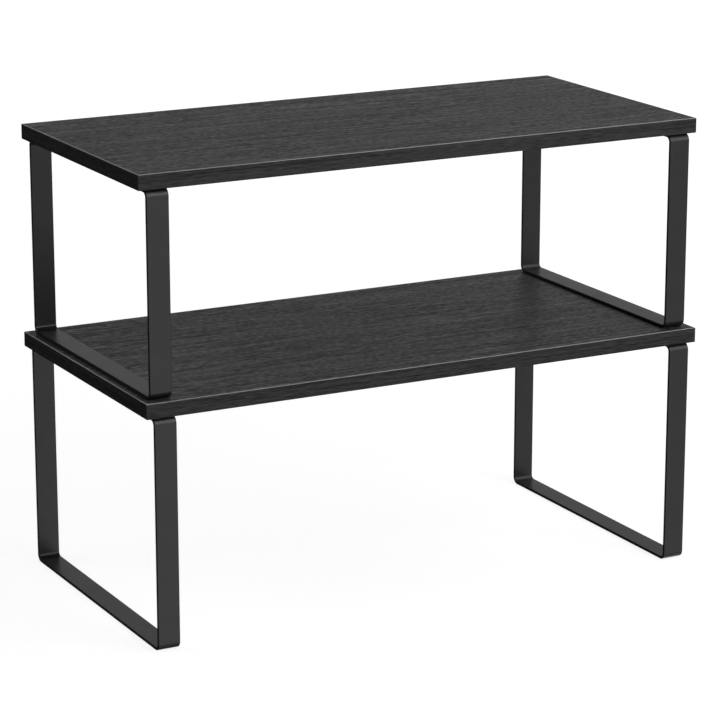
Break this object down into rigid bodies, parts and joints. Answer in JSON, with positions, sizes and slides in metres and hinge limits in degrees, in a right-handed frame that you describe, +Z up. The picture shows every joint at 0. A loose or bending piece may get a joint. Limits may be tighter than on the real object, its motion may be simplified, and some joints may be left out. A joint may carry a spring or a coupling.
{
  "type": "stacking riser shelf set",
  "caption": "Desk-top hutch of stacked riser shelves: a smaller wood-grain board on flat steel loop frames stands on a larger one and lifts off.",
  "frame": {"origin": "on the surface it stands on, under the middle of the lower shelf", "axes": "+X along the boards, to the right seen from the front; -Y is the front; +Z up"},
  "size_m": [0.4, 0.2, 0.302],
  "materials": {
    "board_core": "raw particleboard, seen only where it is drilled",
    "laminate": "matt charcoal facing with fine wood-grain streaks along the board",
    "edge_band": "matt charcoal edge band with fine wood-grain streaks along the edge",
    "powder_coated_steel": "satin black powder coat, very finely textured",
    "screw_steel": "black oxide, semi-gloss"
  },
  "bodies": {
    "lower_shelf": {"lower_board_core": "board_core", "lower_top_laminate": "laminate", "lower_bottom_laminate": "laminate", "lower_front_edge_band": "edge_band", "lower_back_edge_band": "edge_band", "lower_left_edge_band": "edge_band", "lower_right_edge_band": "edge_band", "lower_left_frame": "powder_coated_steel", "lower_right_frame": "powder_coated_steel", "lower_left_screws": "screw_steel", "lower_right_screws": "screw_steel"},
    "upper_shelf": {"upper_board_core": "board_core", "upper_top_laminate": "laminate", "upper_bottom_laminate": "laminate", "upper_front_edge_band": "edge_band", "upper_back_edge_band": "edge_band", "upper_left_edge_band": "edge_band", "upper_right_edge_band": "edge_band", "upper_left_frame": "powder_coated_steel", "upper_right_frame": "powder_coated_steel", "upper_left_screws": "screw_steel", "upper_right_screws": "screw_steel"}
  },
  "joints": [
    {"name": "upper_shelf_lift", "type": "slide", "parent": "lower_shelf", "child": "upper_shelf", "axis": [0, 0, 1], "range_m": [0, 0.2]}
  ]
}
